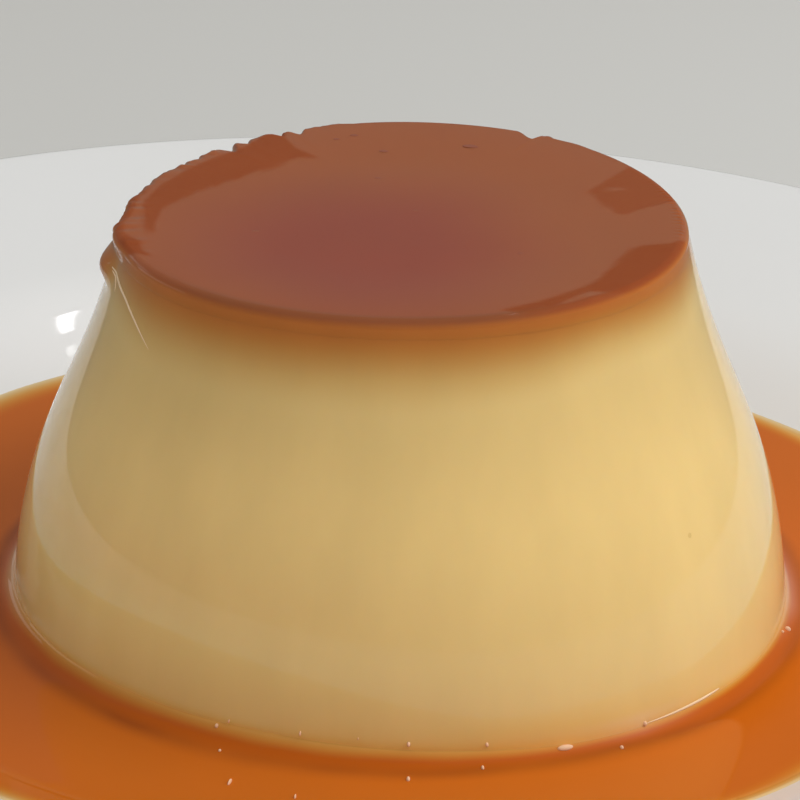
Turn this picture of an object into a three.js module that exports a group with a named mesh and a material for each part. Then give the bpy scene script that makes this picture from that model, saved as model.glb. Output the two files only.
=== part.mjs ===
// Creme caramel flan, turned out on a round white plate in a pool of its own caramel sauce.
//
// Units are millimetres and +Z is up. The origin is the middle of the plate's foot, on the surface that
// the plate stands on. Four pieces make the dish, each a closed solid in a named mesh: the plate, the
// sauce in its well, the custard, and the layer of caramel that has soaked into the custard's top.
import * as THREE from "three";
import { mergeVertices } from "three/addons/utils/BufferGeometryUtils.js";

// Plate: a flat well, a wall that curves up out of it, a broad rim that rises gently, and a foot ring.
// The two bends are the handles of the wall's curve at the well and at the shoulder, where the rim
// begins. LIP_END is the angle in degrees at which the rolled lip meets the rim's upper face.
const PLATE_RADIUS = 104;
const PLATE_HEIGHT = 20.5;
const PLATE_THICKNESS = 4.2;
const WELL_FLOOR = 8;
const WELL_RADIUS = 45;
const SHOULDER_RADIUS = 74;
const SHOULDER_HEIGHT = 16.3;
const WELL_BEND = new THREE.Vector2(11, 0);
const SHOULDER_BEND = new THREE.Vector2(13, 1.9);
const LIP_RADIUS = 1.6;
const LIP_END = 100;
const FOOT_RADIUS = 57;
const FOOT_WIDTH = 6;
const FOOT_DEPTH = 3;
const FOOT_ROUND = 0.8;

// Flan: its side is one smooth curve from the sauce line up to the rim, steep at the foot, drawn in
// over the middle and nearly straight again under the rim. The two bellies are that curve's handles.
// The top's edge is a quarter of an ellipse, and the top is dished a little between two shares of its
// radius.
const FLAN_CENTRE = new THREE.Vector2(2.8, -4.1);
const SAUCE_LINE = 12.4;
const RIM_HEIGHT = 50.5;
const BASE_RADIUS = 39;
const TOP_RADIUS = 27.7;
const LOWER_BELLY = new THREE.Vector2(37.6, 30.6);
const UPPER_BELLY = new THREE.Vector2(31.6, 32.9);
const FOOT_SPREAD = 0.35;
const TOP_SHIFT = -1.6;
const TOP_TILT = 0.8;
const ROUND_WIDTH = 1;
const ROUND_HEIGHT = 0.8;
const CARAMEL_DEPTH = 1.7;
const TOP_DISH = 0.35;
const DISH_FROM = 0.85;
const DISH_TO = 0.5;

// Unevenness of the outline, as a share of its radius: each lobe has a count round the flan, a size
// and the angle of its first crest in degrees.
const BASE_LOBES = [
  { count: 2, size: 0.015, crest: 35 },
  { count: 3, size: 0.02, crest: -50 },
];
const TOP_LOBES = [
  { count: 3, size: 0.016, crest: -33 },
  { count: 4, size: 0.0045, crest: 39 },
];

// Torn places in the caramel's edge, from the back round to the left: angle and half width in degrees,
// and the depth of the tear. A stretch of the edge is finely scalloped too. The unevenness fades in
// from a share of the top's radius out to the edge.
const TEARS = [
  { angle: 61, halfWidth: 2.6, depth: 1.3 },
  { angle: 116.5, halfWidth: 3.2, depth: 1.4 },
  { angle: 134, halfWidth: 4.6, depth: 1.7 },
  { angle: 149, halfWidth: 2.5, depth: 0.6 },
];
const SCALLOPED = { from: 104, to: 190, pitch: 9, depth: 0.25 };
const EDGE_FROM = 0.7;

// Lip that stands out just under the rim, on the left, across the caramel and the custard.
const LIP = { angle: 189, halfWidth: 9, height: 47.1, halfHeight: 2.4, reach: 1.2 };

// Sauce: level in the well, drawn up where it wets the flan.
const SAUCE_LEVEL = 11;
const POOL_RADIUS = 56.7;
const MENISCUS_REACH = 1.3;
const POOL_EDGE = 0.25;

// Room between pieces that meet on a curved face.
const GAP = 0.3;

// Steps round each piece and along each curve.
const PLATE_SEGMENTS = 72;
const FLAN_SEGMENTS = 96;
const RIM_SEGMENTS = 144;
const WALL_STEPS = 9;
const UNDERSIDE_STEPS = 6;
const FOOT_STEPS = 2;
const SIDE_STEPS = 12;
const SIDE_EASE = 1.8;
const ROUND_STEPS = 4;
const SAUCE_TOP_STEPS = 8;
const SAUCE_BED_STEPS = 5;
const FINE_STEPS = 60;
const WELD = 1e-3;

const radians = THREE.MathUtils.degToRad;
const xy = (x, y) => new THREE.Vector2(x, y);

// Turns a profile of (radius, height) points about the +Z axis.
function turned(profile, segments) {
  return new THREE.LatheGeometry(profile, segments).rotateX(Math.PI / 2);
}

// Moves every vertex of a turned shape to place(radius, angle, height), and closes its seams.
function reshaped(geometry, place) {
  const points = geometry.getAttribute("position");
  for (let i = 0; i < points.count; i++) {
    const [x, y, z] = [points.getX(i), points.getY(i), points.getZ(i)];
    const moved = place(Math.hypot(x, y), Math.atan2(y, x), z);
    points.setXYZ(i, moved.x, moved.y, moved.z);
  }
  geometry.deleteAttribute("normal");
  geometry.deleteAttribute("uv");
  const closed = mergeVertices(geometry, WELD);
  closed.computeVertexNormals();
  return closed;
}

// ---- plate

// The wall of the well, from the edge of its floor to the shoulder where the rim begins.
const wellWall = new THREE.CubicBezierCurve(
  xy(WELL_RADIUS, WELL_FLOOR),
  xy(WELL_RADIUS, WELL_FLOOR).add(WELL_BEND),
  xy(SHOULDER_RADIUS, SHOULDER_HEIGHT).sub(SHOULDER_BEND),
  xy(SHOULDER_RADIUS, SHOULDER_HEIGHT),
);
const wellPoints = wellWall.getPoints(FINE_STEPS);

// Height of the plate's upper face inside the shoulder, at a distance from the plate's middle.
function wellHeight(radius) {
  const next = wellPoints.findIndex((point) => point.x >= radius);
  if (next <= 0) return WELL_FLOOR;
  const [inner, outer] = [wellPoints[next - 1], wellPoints[next]];
  return THREE.MathUtils.mapLinear(radius, inner.x, outer.x, inner.y, outer.y);
}

// Half of the foot ring's section, from the hollow inside it round to its outer edge.
function footProfile() {
  const inner = FOOT_RADIUS - FOOT_WIDTH;
  const half = new THREE.Path();
  half.moveTo(0, FOOT_DEPTH);
  half.lineTo(inner - FOOT_ROUND, FOOT_DEPTH);
  half.quadraticCurveTo(inner, FOOT_DEPTH, inner, FOOT_DEPTH - FOOT_ROUND);
  half.lineTo(inner, FOOT_ROUND);
  half.quadraticCurveTo(inner, 0, inner + FOOT_ROUND, 0);
  half.lineTo(FOOT_RADIUS - FOOT_ROUND, 0);
  half.quadraticCurveTo(FOOT_RADIUS, 0, FOOT_RADIUS, FOOT_ROUND);
  return half.getPoints(FOOT_STEPS);
}

// The underside from the foot out to the lip, and the lip itself, back to the rim's upper face.
function undersideProfile() {
  const shoulder = xy(SHOULDER_RADIUS + 1, SHOULDER_HEIGHT - PLATE_THICKNESS);
  const hollow = new THREE.CubicBezierCurve(
    xy(FOOT_RADIUS, FOOT_ROUND),
    xy(FOOT_RADIUS + 1, FOOT_ROUND + PLATE_THICKNESS),
    shoulder.clone().sub(SHOULDER_BEND),
    shoulder,
  );
  const lipCentre = xy(PLATE_RADIUS - LIP_RADIUS, PLATE_HEIGHT - LIP_RADIUS);
  const lip = new THREE.EllipseCurve(
    lipCentre.x, lipCentre.y, LIP_RADIUS, LIP_RADIUS, radians(-90), radians(LIP_END), false,
  );
  return [...hollow.getPoints(UNDERSIDE_STEPS).slice(1), ...lip.getPoints(UNDERSIDE_STEPS)];
}

function plateGeometry() {
  const upper = wellWall.getPoints(WALL_STEPS).reverse();
  const profile = [...footProfile(), ...undersideProfile(), ...upper, xy(0, WELL_FLOOR)];
  return reshaped(turned(profile, PLATE_SEGMENTS), (radius, angle, height) =>
    new THREE.Vector3(radius * Math.cos(angle), radius * Math.sin(angle), height),
  );
}

// ---- flan

const flanSide = new THREE.CubicBezierCurve(
  xy(BASE_RADIUS, SAUCE_LINE),
  LOWER_BELLY,
  UPPER_BELLY,
  xy(TOP_RADIUS, RIM_HEIGHT),
);
const sidePoints = flanSide.getPoints(FINE_STEPS);

// Radius of the flan's even side at a height: its curve, which spreads a little under the sauce.
function sideRadius(height) {
  if (height <= SAUCE_LINE) {
    const sunk = (SAUCE_LINE - height) / (SAUCE_LINE - WELL_FLOOR);
    return BASE_RADIUS + FOOT_SPREAD * sunk;
  }
  const next = sidePoints.findIndex((point) => point.y >= height);
  if (next < 0) return TOP_RADIUS;
  const [low, high] = [sidePoints[next - 1], sidePoints[next]];
  return THREE.MathUtils.mapLinear(height, low.y, high.y, low.x, high.x);
}

function lobed(lobes, angle) {
  return lobes.reduce(
    (sum, { count, size, crest }) => sum + size * Math.cos(count * (angle - radians(crest))),
    0,
  );
}

// How far up the flan's side a height is, from 0 at the sauce line to 1 at the rim.
function climb(height) {
  return THREE.MathUtils.clamp((height - SAUCE_LINE) / (RIM_HEIGHT - SAUCE_LINE), 0, 1);
}

// Scale of the outline at a height and an angle.
function unevenness(angle, height) {
  const up = climb(height);
  return 1 + (1 - up) * lobed(BASE_LOBES, angle) + up * lobed(TOP_LOBES, angle);
}

// Sets a point of the even flan where the real one has it: uneven, leaning and tilted.
function onFlan(radius, angle, height) {
  const up = climb(height);
  const reach = radius * unevenness(angle, height);
  return new THREE.Vector3(
    FLAN_CENTRE.x + TOP_SHIFT * up + reach * Math.cos(angle),
    FLAN_CENTRE.y + reach * Math.sin(angle),
    height + (up * TOP_TILT * reach * Math.cos(angle)) / TOP_RADIUS,
  );
}

// A smooth hump, 1 in the middle and 0 beyond one half width to either side.
function hump(offset, halfWidth) {
  const share = Math.min(Math.abs(offset) / halfWidth, 1);
  return (1 - share * share) ** 2;
}

// Turns an angle in degrees into the range of one turn that begins at `from`.
function turnFrom(angle, from) {
  return THREE.MathUtils.euclideanModulo(angle - from, 360) + from;
}

// How far the lip stands out from the even side.
function lipReach(angle, height) {
  const degrees = turnFrom(THREE.MathUtils.radToDeg(angle), 0);
  const across = hump(degrees - LIP.angle, LIP.halfWidth);
  return LIP.reach * across * hump(height - LIP.height, LIP.halfHeight);
}

// How far tears and scallops cut into the caramel's edge.
function tornDepth(angle, height) {
  const degrees = turnFrom(THREE.MathUtils.radToDeg(angle), 0);
  const torn = TEARS.reduce(
    (sum, { angle: middle, halfWidth, depth }) => sum + depth * hump(degrees - middle, halfWidth),
    0,
  );
  const { from, to, pitch, depth } = SCALLOPED;
  const inside = degrees > from && degrees < to;
  const scallop = inside ? depth * Math.sin((degrees - from) * (Math.PI / pitch)) ** 2 : 0;
  const nearRim = THREE.MathUtils.smoothstep(
    height,
    RIM_HEIGHT - CARAMEL_DEPTH,
    RIM_HEIGHT - ROUND_HEIGHT,
  );
  return nearRim * (torn + scallop);
}

// Share of the top's unevenness that reaches a radius: none inside, all at the edge.
function edgeShare(radius) {
  return THREE.MathUtils.smoothstep(radius / TOP_RADIUS, EDGE_FROM, 1);
}

// The custard, with its rows closer together towards the rim, where the lip stands out.
function custardGeometry() {
  const top = RIM_HEIGHT - CARAMEL_DEPTH - GAP;
  const side = Array.from({ length: SIDE_STEPS + 1 }, (_, i) => {
    const height = THREE.MathUtils.lerp(top, WELL_FLOOR, (1 - i / SIDE_STEPS) ** SIDE_EASE);
    return xy(sideRadius(height), height);
  });
  const profile = [
    xy(0, WELL_FLOOR),
    xy(sideRadius(WELL_FLOOR) / 2, WELL_FLOOR),
    ...side,
    xy(sideRadius(top) / 2, top),
    xy(0, top),
  ];
  return reshaped(turned(profile, FLAN_SEGMENTS), (radius, angle, height) =>
    onFlan(radius + edgeShare(radius) * lipReach(angle, height), angle, height),
  );
}

// The caramel layer: a thin disc with a rounded, torn edge and a top that is very slightly dished.
function caramelGeometry() {
  const under = RIM_HEIGHT - CARAMEL_DEPTH;
  const roundFrom = RIM_HEIGHT - ROUND_HEIGHT;
  const corner = sideRadius(roundFrom) - ROUND_WIDTH;
  const round = Array.from({ length: ROUND_STEPS + 1 }, (_, i) => {
    const turn = (i / ROUND_STEPS) * (Math.PI / 2);
    return xy(corner + ROUND_WIDTH * Math.cos(turn), roundFrom + ROUND_HEIGHT * Math.sin(turn));
  });
  const profile = [
    xy(0, under),
    xy(corner, under),
    xy(sideRadius(under), under),
    ...round,
    xy(corner * DISH_FROM, RIM_HEIGHT - TOP_DISH / 2),
    xy(corner * DISH_TO, RIM_HEIGHT - TOP_DISH),
    xy(0, RIM_HEIGHT - TOP_DISH),
  ];
  return reshaped(turned(profile, RIM_SEGMENTS), (radius, angle, height) => {
    const shift = lipReach(angle, height) - tornDepth(angle, height);
    return onFlan(radius + edgeShare(radius) * shift, angle, height);
  });
}

// ---- sauce

// Distance from the flan's middle to a circle round the plate's middle, in one direction.
function reachOfCircle(radius, angle) {
  const along = FLAN_CENTRE.x * Math.cos(angle) + FLAN_CENTRE.y * Math.sin(angle);
  return Math.sqrt(along ** 2 - FLAN_CENTRE.lengthSq() + radius ** 2) - along;
}

// Height of the sauce at a distance from the flan's side.
function sauceTop(distance) {
  return SAUCE_LEVEL + (SAUCE_LINE - SAUCE_LEVEL) * Math.exp(-distance / MENISCUS_REACH);
}

// Points across the ring of sauce, closer together at both of its edges. They run from 1 at the flan
// to 2 at the pool's edge, with a height that only says which face they are on.
function acrossRing(steps, face) {
  return Array.from({ length: steps + 1 }, (_, i) =>
    xy(1 + (1 - Math.cos((i / steps) * Math.PI)) / 2, face),
  );
}

// The pool is a ring whose section is a closed loop: out along its bed and back over its top.
function sauceGeometry() {
  const bedLine = acrossRing(SAUCE_BED_STEPS, 0);
  const loop = [...bedLine, ...acrossRing(SAUCE_TOP_STEPS, 1).reverse(), bedLine[0]];
  return reshaped(turned(loop, FLAN_SEGMENTS), (station, angle, face) => {
    const inner = sideRadius(WELL_FLOOR) * unevenness(angle, WELL_FLOOR) + GAP;
    const outer = reachOfCircle(POOL_RADIUS, angle);
    const share = station - 1;
    const distance = share * (outer - inner);
    const x = FLAN_CENTRE.x + (inner + distance) * Math.cos(angle);
    const y = FLAN_CENTRE.y + (inner + distance) * Math.sin(angle);
    const bed = wellHeight(Math.hypot(x, y)) + GAP;
    const z = face > 0.5 ? Math.max(sauceTop(distance), bed + POOL_EDGE) : bed;
    return new THREE.Vector3(x, y, z);
  });
}

// ---- the dish

function piece(name, geometry, finish) {
  const mesh = new THREE.Mesh(geometry, new THREE.MeshStandardMaterial(finish));
  mesh.name = name;
  return mesh;
}

const flan = new THREE.Group();
flan.name = "creme_caramel_flan";
flan.add(
  piece("plate", plateGeometry(), { color: 0xe4e5e1, roughness: 0.12, metalness: 0 }),
  piece("sauce", sauceGeometry(), { color: 0xc0651b, roughness: 0.08, metalness: 0 }),
  piece("custard", custardGeometry(), { color: 0xe2bf7c, roughness: 0.35, metalness: 0 }),
  piece("caramel_top", caramelGeometry(), { color: 0x8f4a2a, roughness: 0.2, metalness: 0 }),
);

export default flan;
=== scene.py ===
"""Dresses the solid model of a creme caramel flan on its plate with its real surfaces.

The file is laid out as a Blender add-on. Run as a script it loads the solid model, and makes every
piece by calling the operators in order. All shapes are in
metres, in the frame of the solid model: +Z is up, -Y is the front, and the plate's foot stands on
the XY plane. Angles round the flan start at +X and run anticlockwise, so its front is at 270.
"""
import math

import bpy
import numpy as np
from bpy.props import FloatProperty, FloatVectorProperty, PointerProperty
from mathutils import Matrix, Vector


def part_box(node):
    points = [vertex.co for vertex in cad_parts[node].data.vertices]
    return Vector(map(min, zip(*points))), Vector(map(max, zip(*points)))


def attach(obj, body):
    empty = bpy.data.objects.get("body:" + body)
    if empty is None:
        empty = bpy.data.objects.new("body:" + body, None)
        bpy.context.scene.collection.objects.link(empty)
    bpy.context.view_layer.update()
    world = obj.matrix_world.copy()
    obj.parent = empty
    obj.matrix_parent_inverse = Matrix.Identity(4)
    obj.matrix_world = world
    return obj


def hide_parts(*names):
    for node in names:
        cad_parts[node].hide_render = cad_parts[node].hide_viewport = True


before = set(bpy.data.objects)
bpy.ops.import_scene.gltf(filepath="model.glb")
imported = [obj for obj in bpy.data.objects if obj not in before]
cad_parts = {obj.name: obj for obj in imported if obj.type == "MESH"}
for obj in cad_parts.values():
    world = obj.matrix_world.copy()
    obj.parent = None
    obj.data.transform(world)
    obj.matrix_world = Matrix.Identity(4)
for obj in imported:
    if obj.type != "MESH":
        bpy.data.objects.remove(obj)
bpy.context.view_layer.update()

bl_info = {
    "name": "Creme Caramel Flan",
    "version": (1, 0, 0),
    "blender": (4, 5, 0),
    "location": "3D View > Sidebar > Flan",
    "description": "Makes a creme caramel flan in its caramel sauce on a round white plate",
    "category": "Add Mesh",
}

_, PLATE_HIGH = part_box("plate")

MM = 0.001
TURN = 2 * math.pi


# ---- settings


def colour(code):
    """Scene-linear colour of a six-digit web colour, by the two-part sRGB curve."""
    shares = [int(code[i:i + 2], 16) / 255 for i in (0, 2, 4)]
    return tuple(s / 12.92 if s <= 0.04045 else ((s + 0.055) / 1.055) ** 2.4 for s in shares)


def length(name, description, millimetres):
    """A distance property whose default is given in millimetres."""
    return FloatProperty(
        name=name, description=description, default=millimetres * MM, min=0, subtype="DISTANCE",
        unit="LENGTH", precision=4,
    )


def tint(name, description, code):
    """A colour property whose default is given as a web colour."""
    return FloatVectorProperty(
        name=name, description=description, default=colour(code), min=0, max=1, size=3,
        subtype="COLOR",
    )


def amount(name, description, value, low=0, **kind):
    """A number property with a lower limit."""
    return FloatProperty(name=name, description=description, default=value, min=low, **kind)


class PlateSettings(bpy.types.PropertyGroup):
    """Sizes and colour of the plate."""

    radius: length("Radius", "From the middle to the outer edge", float(PLATE_HIGH[0]) / MM)
    height: length("Height", "Height of the rim's edge over the table", float(PLATE_HIGH[2]) / MM)
    thickness: length("Thickness", "Thickness of the rim", 4.2)
    floor: length("Floor", "Height of the well's floor", 8)
    well: length("Well", "Radius of the flat floor of the well", 45)
    shoulder: length("Shoulder", "Radius at which the rim begins", 74)
    shoulder_height: length("Shoulder height", "Height at which the rim begins", 16.3)
    glaze: tint("Glaze", "Colour of the glaze", "eeeff0")
    gloss: amount("Roughness", "Roughness of the glaze", 0.03, max=1)


class CustardSettings(bpy.types.PropertyGroup):
    """Sizes and colours of the custard's body."""

    base_radius: length("Base radius", "Even radius where the flan meets the sauce", 39)
    top_radius: length("Top radius", "Even radius of the rim", 27.7)
    sauce_line: length("Sauce line", "Height at which the sauce wets the flan", 12.4)
    rim_height: length("Rim height", "Height of the rim over the table", 50.5)
    body: tint("Custard", "Colour of the custard", "eccb86")
    specks: tint("Specks", "Colour of the toasted specks in the side", "e4c078")
    # Paler colour painted on the lower custard: painted light that offsets the orange light from the sauce.
    low: tint("Foot", "Colour of the custard near its foot", "ecd892")
    stained: tint("Stain", "Colour of custard that caramel has run into", "b86c2d")
    # Pale colour at the foot: partly dried froth, partly a painted sheen of the wet foot.
    veil: tint("Veil", "Colour of the thin dried froth along the foot", "f2dcd0")
    # Also the colour of the pale thread at the right foot, a painted highlight.
    fold_and_glint: tint("Folds", "Colour of the folds of dried caramel skin", "f6d8b0")


class CaramelSettings(bpy.types.PropertyGroup):
    """Sizes and colours of the caramel layer on top."""

    depth: length("Depth", "Thickness of the soaked layer", 1.7)
    round_width: length("Edge width", "Width of the rounded edge, seen from above", 1)
    round_height: length("Edge height", "Height of the rounded edge, seen from the side", 0.8)
    dish: length("Dish", "How far the middle is sunk", 0.35)
    burnt: tint("Middle", "Colour of the wet layer where it is darkest", "944432")
    amber: tint("Border", "Colour of the wet layer towards its edge", "a0562f")
    specks: tint("Specks", "Colour of the burnt specks in the layer", "97513a")
    # Browner colour where the coat is off: a painted reflection on the dull places, painted light along the
    # back edge.
    dull: tint("Dull", "Colour of the layer where the wet film has run off", "944b29")
    # A darker line painted inside the front of the top's edge: painted shade.
    line: tint("Edge line", "Darker line inside the edge of the top", "8b4f2f")


class SauceSettings(bpy.types.PropertyGroup):
    """Sizes and colours of the pool of sauce."""

    level: length("Level", "Height of the sauce's flat surface", 11)
    reach: length("Meniscus", "Distance over which the sauce climbs the flan", 1.3)
    pool: length("Pool radius", "Radius of the pool round the plate's middle", 57.7)
    ground: tint("Ground", "Colour of the plate under the sauce", "eae8e2")
    # The dark band's tint: partly deeper sauce, partly painted shade.
    contact: tint("Contact", "Tint of the dark band beside the flan", "cabdf3")
    # The bubbles' pale colour partly stands in for their glints: a painted highlight.
    froth: tint("Froth", "Colour of the bubbles", "f8cba6")


class StageSettings(bpy.types.PropertyGroup):
    """The table, the lights and the camera."""

    table: tint("Table", "Colour of the table", "dcdcda")
    key_power: amount("Key light", "Power of the key light", 4.6, unit="POWER")
    sky_power: amount("Sky light", "Power of the light above", 3, unit="POWER")
    fill_power: amount("Fill light", "Power of the fill light", 2.3, unit="POWER")
    window: amount("Windows", "Radiance of the window panes", 10)
    world: amount("Surround", "Brightness of the surroundings", 0.22)
    lens: amount("Lens", "Focal length in mm", 153, low=1)


# ---- curves, ripples and masks


def full_turn(count):
    """Evenly spaced angles of a full turn."""
    return np.linspace(0, TURN, count, endpoint=False)


def stacked(*parts):
    """Coordinates side by side, as the last axis of one array."""
    return np.stack(np.broadcast_arrays(*parts), axis=-1)


def unit(vectors):
    """Vectors divided by their length."""
    return vectors / np.linalg.norm(vectors, axis=-1, keepdims=True)


def bezier(start, start_handle, end_handle, end, count):
    """Cubic curve: its four points weighted by (1-t)^3, 3t(1-t)^2, 3t^2(1-t) and t^3."""
    t = np.linspace(0, 1, count)[:, None]
    weights = ((1 - t) ** 3, 3 * t * (1 - t) ** 2, 3 * t ** 2 * (1 - t), t ** 3)
    return sum(w * np.array(p, float) for w, p in zip(weights, (start, start_handle, end_handle, end)))


def arc(centre, radius, start, end, count):
    """Circular arc round a centre, from one angle in degrees to another."""
    turn = np.radians(np.linspace(start, end, count))
    return stacked(centre[0] + radius * np.cos(turn), centre[1] + radius * np.sin(turn))


def path(*stretches):
    """Stretches of (radius, height) points joined end to end, each point kept once."""
    points = np.concatenate([np.atleast_2d(np.array(s, float)) for s in stretches])
    apart = np.linalg.norm(np.diff(points, axis=0), axis=1) > 1e-7
    return points[np.concatenate([[True], apart])]


def densified(points, step):
    """The same path with extra points, so that no two neighbours are more than a step apart."""
    lengths = np.linalg.norm(np.diff(points, axis=0), axis=1)
    counts = np.maximum(np.ceil(lengths / step).astype(int), 1)
    pieces = [
        a + (b - a) * np.linspace(0, 1, n, endpoint=False)[:, None]
        for a, b, n in zip(points[:-1], points[1:], counts)
    ]
    return np.concatenate(pieces + [points[-1:]])


def eased(t, knots, values):
    """Smooth curve through values at knots: straight pieces, averaged over a short stretch."""
    margin, count, window = 0.1, 481, 41
    fine = np.linspace(-margin, 1 + margin, count)
    blurred = np.convolve(np.interp(fine, knots, values), np.full(window, 1 / window), mode="same")
    kept = slice(window - 1, 1 - window)
    return np.interp(t, fine[kept], blurred[kept])


def smooth(value, low, high):
    """Smooth step: 0 below low, 1 above high, and 3s^2 - 2s^3 of the share s between them."""
    s = np.clip((value - low) / (high - low), 0, 1)
    return s * s * (3 - 2 * s)


def hump(offset, half_width):
    """Smooth hump: (1 - s^2)^2 of the offset's share s of the half width, and 0 beyond it."""
    s = np.minimum(np.abs(offset) / half_width, 1)
    return (1 - s * s) ** 2


def waves(angle, counts, seed):
    """Uneven ripple round a turn: a sum of cosines of seeded phase, each of size one over count."""
    phases = np.random.default_rng(seed).uniform(0, TURN, len(counts))
    total = sum(np.cos(n * angle + p) / n for n, p in zip(counts, phases))
    return total / sum(1 / n for n in counts)


def ripple(unevenness, angle):
    """Waves round a turn times their size, from a size, the waves in a turn and a seed."""
    size, counts, seed = unevenness
    return size * waves(angle, counts, seed)


def around(table, angle):
    """Value at an angle, from a table of (degrees, value) pairs that closes on itself."""
    return np.interp(np.degrees(angle), *np.transpose(table), period=360)


def stretch(limits, angle):
    """Share that fades in between the first two of four angles in degrees, and out between the last."""
    fade_in, full, fade, end = limits
    degrees = np.degrees(angle) % 360
    return smooth(degrees, fade_in, full) * (1 - smooth(degrees, fade, end))


def inside_outline(x, y, corners, softness):
    """Soft mask of a closed outline: smooth step of the distance to its edge, signed by crossings."""
    points = np.array(corners, float)
    nearest, inside = np.full(x.shape, np.inf), np.zeros(x.shape, bool)
    for (ax, ay), (bx, by) in zip(points, np.roll(points, -1, axis=0)):
        run_x, run_y = bx - ax, by - ay
        t = np.clip(((x - ax) * run_x + (y - ay) * run_y) / (run_x ** 2 + run_y ** 2), 0, 1)
        nearest = np.minimum(nearest, np.hypot(x - ax - t * run_x, y - ay - t * run_y))
        if run_y:
            inside ^= ((ay > y) != (by > y)) & (x < ax + (y - ay) * run_x / run_y)
    return smooth(np.where(inside, nearest, -nearest), -softness, softness)


# ---- meshes


def new_object(name, data):
    """Puts a mesh, a light or a camera into the scene."""
    thing = bpy.data.objects.new(name, data)
    bpy.context.scene.collection.objects.link(thing)
    return thing


def add_piece(name, points, faces, finish, slot, attributes=None, replaced=None):
    """Puts a mesh into the scene as a smooth piece of the part, in its material."""
    mesh = bpy.data.meshes.new(name)
    mesh.from_pydata(points.tolist(), [], faces)
    mesh.polygons.foreach_set("use_smooth", np.ones(len(mesh.polygons), bool))
    for key, values in (attributes or {}).items():
        layer = mesh.attributes.new(key, "FLOAT", "POINT")
        layer.data.foreach_set("value", np.asarray(values, np.float32))
    mesh.update()
    mesh.materials.append(finish)
    piece = new_object(name, mesh)
    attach(piece, "root")
    if replaced:
        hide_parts(replaced)


def turned_faces(rows, columns, poles=True, looped=False):
    """Quads between the rows of a turned grid. The first and last row are poles, or a loop of rows."""
    index = np.arange(rows * columns).reshape(rows, columns)
    if poles:
        index = index[1:-1] - (columns - 1)
    lower, upper = (index, np.roll(index, -1, axis=0)) if looped else (index[:-1], index[1:])
    quads = np.stack([lower, np.roll(lower, -1, axis=1), np.roll(upper, -1, axis=1), upper], axis=-1)
    faces = quads.reshape(-1, 4).tolist()
    if poles:
        last = (rows - 2) * columns + 1
        first_row, last_row = index[0], index[-1]
        faces += [[0, b, a] for a, b in zip(first_row.tolist(), np.roll(first_row, -1).tolist())]
        faces += [[last, a, b] for a, b in zip(last_row.tolist(), np.roll(last_row, -1).tolist())]
    return faces


def without_pole_copies(grid):
    """A turned grid's values as one list, with the first and the last row as a single one each."""
    inner = grid[1:-1].reshape(-1, *grid.shape[2:])
    return np.concatenate([grid[:1, 0], inner, grid[-1:, 0]])


def joined(grids):
    """Turned grids with poles as one mesh: all points, and the faces numbered on from grid to grid."""
    points, faces, start = [], [], 0
    for grid in grids:
        points.append(without_pole_copies(grid))
        faces += [[start + corner for corner in face] for face in turned_faces(*grid.shape[:2])]
        start += len(points[-1])
    return np.concatenate(points), faces


def frame_on(surface, first, second):
    """Points of a surface, with unit vectors along its first and second parameter and outward."""
    turn_step, length_step = 0.002, 0.05 * MM
    along = unit(surface(first + turn_step, second) - surface(first - turn_step, second))
    across = surface(first, second + length_step) - surface(first, second - length_step)
    outward = unit(np.cross(along, across))
    return surface(first, second), along, np.cross(outward, along), outward


def blobs(points, along, across, outward, halves, columns=16, rows=11):
    """Ellipsoids: each centre plus its three axes times cosines and sines of two angles."""
    turn, rise = full_turn(columns), np.linspace(-TURN / 4, TURN / 4, rows)[:, None]
    ball = np.broadcast_arrays(np.cos(rise) * np.cos(turn), np.cos(rise) * np.sin(turn), np.sin(rise))
    return [
        sum((half * part[..., None] * axis for half, part, axis in zip(sizes, ball, axes)), centre)
        for centre, *axes, sizes in zip(points, along, across, outward, halves)
    ]


# ---- the flan's form

# Middle of the flan on the plan, and height of the floor that it stands on.
FLAN_CENTRE = (2.8 * MM, -4.1 * MM)
WELL_FLOOR = 8 * MM

# Handles of the side's curve between the sauce line and the rim, as radius and height.
LOWER_BELLY = (37.6 * MM, 30.6 * MM)
UPPER_BELLY = (31.6 * MM, 32.9 * MM)

# How much the foot widens down to the well's floor, and how far the top leans and tips to one side.
FOOT_SPREAD = 0.35 * MM
TOP_SHIFT = -1.6 * MM
TOP_TILT = 0.8 * MM

# Lobes of the outline: count round the flan, share of the radius, and angle of the first crest.
BASE_LOBES = ((2, 0.015, 35), (3, 0.02, -50))
TOP_LOBES = ((3, 0.016, -33), (4, 0.0045, 39))

# Slow unevenness of the side: its size, the waves in a turn, and the length of the wave up the side.
SWELL = 0.10 * MM
SWELL_COUNTS = (3, 5, 7, 11, 13, 19)
SWELL_LENGTH = 9 * MM

# Tears in the rim, and places where it stands out: angle and half widths before and after it in
# degrees, and depth in millimetres.
TEARS = (
    (60.5, 1.0, 5.5, 1.35), (58.2, 1.6, 1.0, -0.3), (115.8, 2.6, 2.0, 1.4), (119.8, 1.4, 2.0, 0.9),
    (123.4, 1.8, 2.6, -0.3), (129.0, 2.4, 2.4, 0.8), (134.4, 3.4, 2.2, 1.7), (142.8, 1.6, 3.4, 0.45),
    (148.7, 2.6, 0.6, 0.65), (156.5, 5.0, 5.0, -0.2), (171.5, 3.5, 4.0, -0.3), (107.0, 5.0, 5.0, -0.28),
    (50.5, 5.0, 5.0, -0.15), (189, 9.0, 13.0, -0.55),
)

# Fine roughness of the torn rim: where it fades in and out, and its size, waves in a turn and seed.
ROUGH_STRETCH = (100, 106, 186, 192)
ROUGHNESS = (0.16 * MM, (67, 97, 131, 173, 211), 4)

# Share of the top's radius from which tears, lip and swell fade in.
EVEN_SHARE = 0.7

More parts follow.
